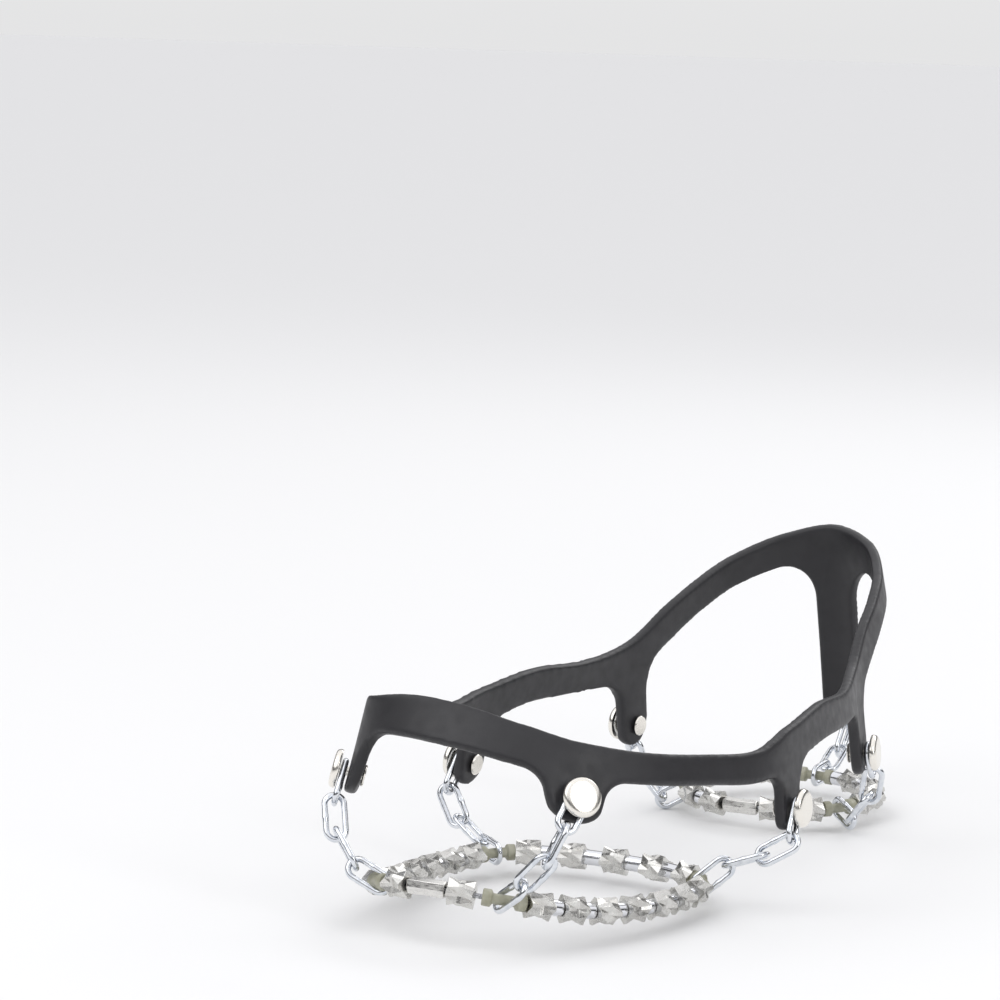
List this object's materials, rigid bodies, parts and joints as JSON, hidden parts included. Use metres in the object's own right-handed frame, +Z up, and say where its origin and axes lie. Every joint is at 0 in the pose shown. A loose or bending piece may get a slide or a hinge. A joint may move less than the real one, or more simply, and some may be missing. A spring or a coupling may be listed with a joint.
{
  "type": "shoe ice cleats",
  "caption": "Slip-on ice cleat: rubber harness ring whose riveted chains hold two steel-cable loops of star beads under a boot sole.",
  "frame": {"origin": "on the boot's sole plane, under the middle of the foot", "axes": "+Y toward the heel, +X toward the outer side of the foot, +Z up"},
  "size_m": [0.1275, 0.3039, 0.0965],
  "materials": {
    "rubber": "satin moulded rubber",
    "rivet": "polished nickel",
    "link": "bright zinc plated steel wire",
    "spool": "satin",
    "bead": "cast, satin",
    "spacer": "polished tube",
    "cable": "stranded steel",
    "ferrule": "crimped, satin"
  },
  "bodies": {
    "cleat": {"harness": "rubber", "rivet_toe_medial": "rivet", "spool_toe_medial": "spool", "rivet_toe_lateral": "rivet", "spool_toe_lateral": "spool", "rivet_mid_lateral": "rivet", "spool_mid_lateral": "spool", "rivet_heel_lateral": "rivet", "spool_heel_lateral": "spool", "rivet_rear": "rivet", "spool_rear": "spool", "rivet_heel_medial": "rivet", "spool_heel_medial": "spool", "rivet_mid_medial": "rivet", "spool_mid_medial": "spool", "front_cable": "cable", "front_ferrule": "ferrule", "beads_front_lateral": "bead", "beads_front_rear": "bead", "beads_front_medial": "bead", "heel_cable": "cable", "beads_heel_lateral": "bead", "beads_heel_medial": "bead", "heel_ferrule": "ferrule"},
    "link_toe_medial_1": {"link_toe_medial_1": "link"},
    "link_toe_medial_2": {"link_toe_medial_2": "link"},
    "link_toe_medial_3": {"link_toe_medial_3": "link"},
    "link_toe_medial_4": {"link_toe_medial_4": "link"},
    "link_toe_lateral_1": {"link_toe_lateral_1": "link"},
    "link_toe_lateral_2": {"link_toe_lateral_2": "link"},
    "link_toe_lateral_3": {"link_toe_lateral_3": "link"},
    "link_toe_lateral_4": {"link_toe_lateral_4": "link"},
    "link_mid_lateral_1": {"link_mid_lateral_1": "link"},
    "link_mid_lateral_2": {"link_mid_lateral_2": "link"},
    "link_mid_lateral_3": {"link_mid_lateral_3": "link"},
    "link_mid_lateral_4": {"link_mid_lateral_4": "link"},
    "link_heel_lateral_1": {"link_heel_lateral_1": "link"},
    "link_heel_lateral_2": {"link_heel_lateral_2": "link"},
    "link_heel_lateral_3": {"link_heel_lateral_3": "link"},
    "link_heel_lateral_4": {"link_heel_lateral_4": "link"},
    "link_rear_1": {"link_rear_1": "link"},
    "link_rear_2": {"link_rear_2": "link"},
    "link_rear_3": {"link_rear_3": "link"},
    "link_rear_4": {"link_rear_4": "link"},
    "link_heel_medial_1": {"link_heel_medial_1": "link"},
    "link_heel_medial_2": {"link_heel_medial_2": "link"},
    "link_heel_medial_3": {"link_heel_medial_3": "link"},
    "link_heel_medial_4": {"link_heel_medial_4": "link"},
    "link_mid_medial_1": {"link_mid_medial_1": "link"},
    "link_mid_medial_2": {"link_mid_medial_2": "link"},
    "link_mid_medial_3": {"link_mid_medial_3": "link"},
    "link_mid_medial_4": {"link_mid_medial_4": "link"},
    "toe_bead_medial": {"toe_bead_medial": "bead"},
    "toe_bead_lateral": {"toe_bead_lateral": "bead"},
    "heel_bead_medial_1": {"heel_bead_medial_1": "bead"},
    "heel_spacer_medial": {"heel_spacer_medial": "spacer"},
    "heel_bead_medial_2": {"heel_bead_medial_2": "bead"},
    "heel_bead_lateral_1": {"heel_bead_lateral_1": "bead"},
    "heel_spacer_lateral": {"heel_spacer_lateral": "spacer"},
    "heel_bead_lateral_2": {"heel_bead_lateral_2": "bead"}
  },
  "joints": [
    {"name": "link_toe_medial_4_swing", "type": "hinge", "parent": "cleat", "child": "link_toe_medial_4", "pos_m": [-0.04898, -0.12144, 0.03179], "axis": [-0.8758, -0.4232, 0.232], "range_deg": [-0.9, 0.9]},
    {"name": "link_toe_medial_3_swing", "type": "hinge", "parent": "link_toe_medial_4", "child": "link_toe_medial_3", "pos_m": [-0.04781, -0.12855, 0.02322], "axis": [0.4713, -0.646, 0.6005], "range_deg": [-0.9, 0.9]},
    {"name": "link_toe_medial_1_swing", "type": "hinge", "parent": "cleat", "child": "link_toe_medial_1", "pos_m": [-0.029, -0.134, 0.0026], "axis": [0.7019, -0.6897, 0.1778], "range_deg": [-0.9, 0.9]},
    {"name": "link_toe_medial_2_swing", "type": "hinge", "parent": "link_toe_medial_1", "child": "link_toe_medial_2", "pos_m": [-0.03592, -0.13511, 0.00606], "axis": [0.3094, -0.7342, 0.6043], "range_deg": [-0.9, 0.9]},
    {"name": "link_toe_lateral_4_swing", "type": "hinge", "parent": "cleat", "child": "link_toe_lateral_4", "pos_m": [0.0335, -0.12698, 0.03417], "axis": [0.7367, -0.5814, 0.3454], "range_deg": [-0.9, 0.9]},
    {"name": "link_toe_lateral_3_swing", "type": "hinge", "parent": "link_toe_lateral_4", "child": "link_toe_lateral_3", "pos_m": [0.03195, -0.13403, 0.02562], "axis": [0.6618, 0.5149, -0.5449], "range_deg": [-0.9, 0.9]},
    {"name": "link_toe_lateral_1_swing", "type": "hinge", "parent": "cleat", "child": "link_toe_lateral_1", "pos_m": [0.014, -0.135, 0.0029], "axis": [0.7991, 0.5817, -0.1514], "range_deg": [-0.9, 0.9]},
    {"name": "link_toe_lateral_2_swing", "type": "hinge", "parent": "link_toe_lateral_1", "child": "link_toe_lateral_2", "pos_m": [0.02005, -0.1369, 0.00748], "axis": [0.5347, 0.6388, -0.5532], "range_deg": [-0.9, 0.9]},
    {"name": "link_mid_lateral_4_swing", "type": "hinge", "parent": "cleat", "child": "link_mid_lateral_4", "pos_m": [0.06339, -0.03686, 0.01968], "axis": [0.9978, 0.0419, 0.0517], "range_deg": [-0.9, 0.9]},
    {"name": "link_mid_lateral_3_swing", "type": "hinge", "parent": "link_mid_lateral_4", "child": "link_mid_lateral_3", "pos_m": [0.06413, -0.04235, 0.00994], "axis": [-0.011, 0.8705, -0.492], "range_deg": [-0.9, 0.9]},
    {"name": "link_mid_lateral_1_swing", "type": "hinge", "parent": "cleat", "child": "link_mid_lateral_1", "pos_m": [0.039, -0.051, -0.0048], "axis": [-0.5017, 0.865, 0], "range_deg": [-0.9, 0.9]},
    {"name": "link_mid_lateral_2_swing", "type": "hinge", "parent": "link_mid_lateral_1", "child": "link_mid_lateral_2", "pos_m": [0.04442, -0.04711, 0.0008], "axis": [-0.142, 0.9602, -0.2406], "range_deg": [-0.9, 0.9]},
    {"name": "link_mid_medial_4_swing", "type": "hinge", "parent": "cleat", "child": "link_mid_medial_4", "pos_m": [-0.05538, -0.03586, 0.02036], "axis": [-0.9935, 0.0423, 0.1057], "range_deg": [-0.9, 0.9]},
    {"name": "link_mid_medial_3_swing", "type": "hinge", "parent": "link_mid_medial_4", "child": "link_mid_medial_3", "pos_m": [-0.05664, -0.04145, 0.01074], "axis": [0.0164, -0.8656, 0.5005], "range_deg": [-0.9, 0.9]},
    {"name": "link_mid_medial_1_swing", "type": "hinge", "parent": "cleat", "child": "link_mid_medial_1", "pos_m": [-0.034, -0.05, -0.0048], "axis": [-0.5686, -0.8226, 0], "range_deg": [-0.9, 0.9]},
    {"name": "link_mid_medial_2_swing", "type": "hinge", "parent": "link_mid_medial_1", "child": "link_mid_medial_2", "pos_m": [-0.04077, -0.0445, -0.00407], "axis": [-0.121, -0.9837, 0.1333], "range_deg": [-0.9, 0.9]},
    {"name": "link_heel_lateral_4_swing", "type": "hinge", "parent": "cleat", "child": "link_heel_lateral_4", "pos_m": [0.04631, 0.06171, 0.0193], "axis": [0.9737, 0.2102, 0.088], "range_deg": [-0.7, 0.7]},
    {"name": "link_heel_lateral_3_swing", "type": "hinge", "parent": "link_heel_lateral_4", "child": "link_heel_lateral_3", "pos_m": [0.04535, 0.06951, 0.01132], "axis": [-0.2111, 0.6862, 0.6961], "range_deg": [-0.7, 0.7]},
    {"name": "link_heel_lateral_1_swing", "type": "hinge", "parent": "cleat", "child": "link_heel_lateral_1", "pos_m": [0.0287, 0.08074, -0.0048], "axis": [0.4692, 0.8831, 0], "range_deg": [-0.7, 0.7]},
    {"name": "link_heel_lateral_2_swing", "type": "hinge", "parent": "link_heel_lateral_1", "child": "link_heel_lateral_2", "pos_m": [0.03509, 0.07555, -0.00716], "axis": [0.1509, 0.9506, 0.2713], "range_deg": [-0.7, 0.7]},
    {"name": "link_heel_medial_4_swing", "type": "hinge", "parent": "cleat", "child": "link_heel_medial_4", "pos_m": [-0.04437, 0.06247, 0.01908], "axis": [-0.99, 0.139, 0.0242], "range_deg": [-0.8, 0.8]},
    {"name": "link_heel_medial_3_swing", "type": "hinge", "parent": "link_heel_medial_4", "child": "link_heel_medial_3", "pos_m": [-0.04355, 0.06973, 0.01059], "axis": [-0.121, -0.7485, -0.652], "range_deg": [-0.8, 0.8]},
    {"name": "link_heel_medial_1_swing", "type": "hinge", "parent": "cleat", "child": "link_heel_medial_1", "pos_m": [-0.0287, 0.08074, -0.0048], "axis": [0.4693, -0.883, 0], "range_deg": [-0.8, 0.8]},
    {"name": "link_heel_medial_2_swing", "type": "hinge", "parent": "link_heel_medial_1", "child": "link_heel_medial_2", "pos_m": [-0.03468, 0.07593, -0.00855], "axis": [0.2305, -0.9437, -0.2371], "range_deg": [-0.8, 0.8]},
    {"name": "link_rear_4_swing", "type": "hinge", "parent": "cleat", "child": "link_rear_4", "pos_m": [-0.00002, 0.15232, 0.01973], "axis": [-0.0069, 0.9766, 0.2152], "range_deg": [-0.9, 0.9]},
    {"name": "link_rear_3_swing", "type": "hinge", "parent": "link_rear_4", "child": "link_rear_3", "pos_m": [-0.00013, 0.15473, 0.00879], "axis": [-0.9999, -0.0088, 0.0075], "range_deg": [-0.9, 0.9]},
    {"name": "link_rear_1_swing", "type": "hinge", "parent": "cleat", "child": "link_rear_1", "pos_m": [0, 0.1285, -0.0048], "axis": [-1, 0.0004, 0], "range_deg": [-0.9, 0.9]},
    {"name": "link_rear_2_swing", "type": "hinge", "parent": "link_rear_1", "child": "link_rear_2", "pos_m": [0.00001, 0.13708, -0.00417], "axis": [-1, -0.0078, 0.0014], "range_deg": [-0.9, 0.9]},
    {"name": "toe_bead_medial_spin", "type": "hinge", "parent": "cleat", "child": "toe_bead_medial", "pos_m": [-0.01822, -0.14014, 0.00449], "axis": [0.9434, -0.3115, 0.114], "continuous": true},
    {"name": "toe_bead_lateral_spin", "type": "hinge", "parent": "cleat", "child": "toe_bead_lateral", "pos_m": [0.00277, -0.14046, 0.00459], "axis": [0.9528, 0.2851, -0.1046], "continuous": true},
    {"name": "heel_bead_medial_1_spin", "type": "hinge", "parent": "cleat", "child": "heel_bead_medial_1", "pos_m": [-0.02185, 0.07195, -0.0048], "axis": [0.7401, -0.6725, 0], "continuous": true},
    {"name": "heel_spacer_medial_spin", "type": "hinge", "parent": "cleat", "child": "heel_spacer_medial", "pos_m": [-0.01652, 0.06801, -0.0048], "axis": [0.8609, -0.5087, 0], "continuous": true},
    {"name": "heel_bead_medial_2_spin", "type": "hinge", "parent": "cleat", "child": "heel_bead_medial_2", "pos_m": [-0.01051, 0.06525, -0.0048], "axis": [0.9462, -0.3236, 0], "continuous": true},
    {"name": "heel_bead_lateral_1_spin", "type": "hinge", "parent": "cleat", "child": "heel_bead_lateral_1", "pos_m": [0.01051, 0.06525, -0.0048], "axis": [0.9464, 0.323, 0], "continuous": true},
    {"name": "heel_spacer_lateral_spin", "type": "hinge", "parent": "cleat", "child": "heel_spacer_lateral", "pos_m": [0.01652, 0.06801, -0.0048], "axis": [0.8613, 0.5081, 0], "continuous": true},
    {"name": "heel_bead_lateral_2_spin", "type": "hinge", "parent": "cleat", "child": "heel_bead_lateral_2", "pos_m": [0.02185, 0.07194, -0.0048], "axis": [0.7401, 0.6725, 0], "continuous": true}
  ]
}
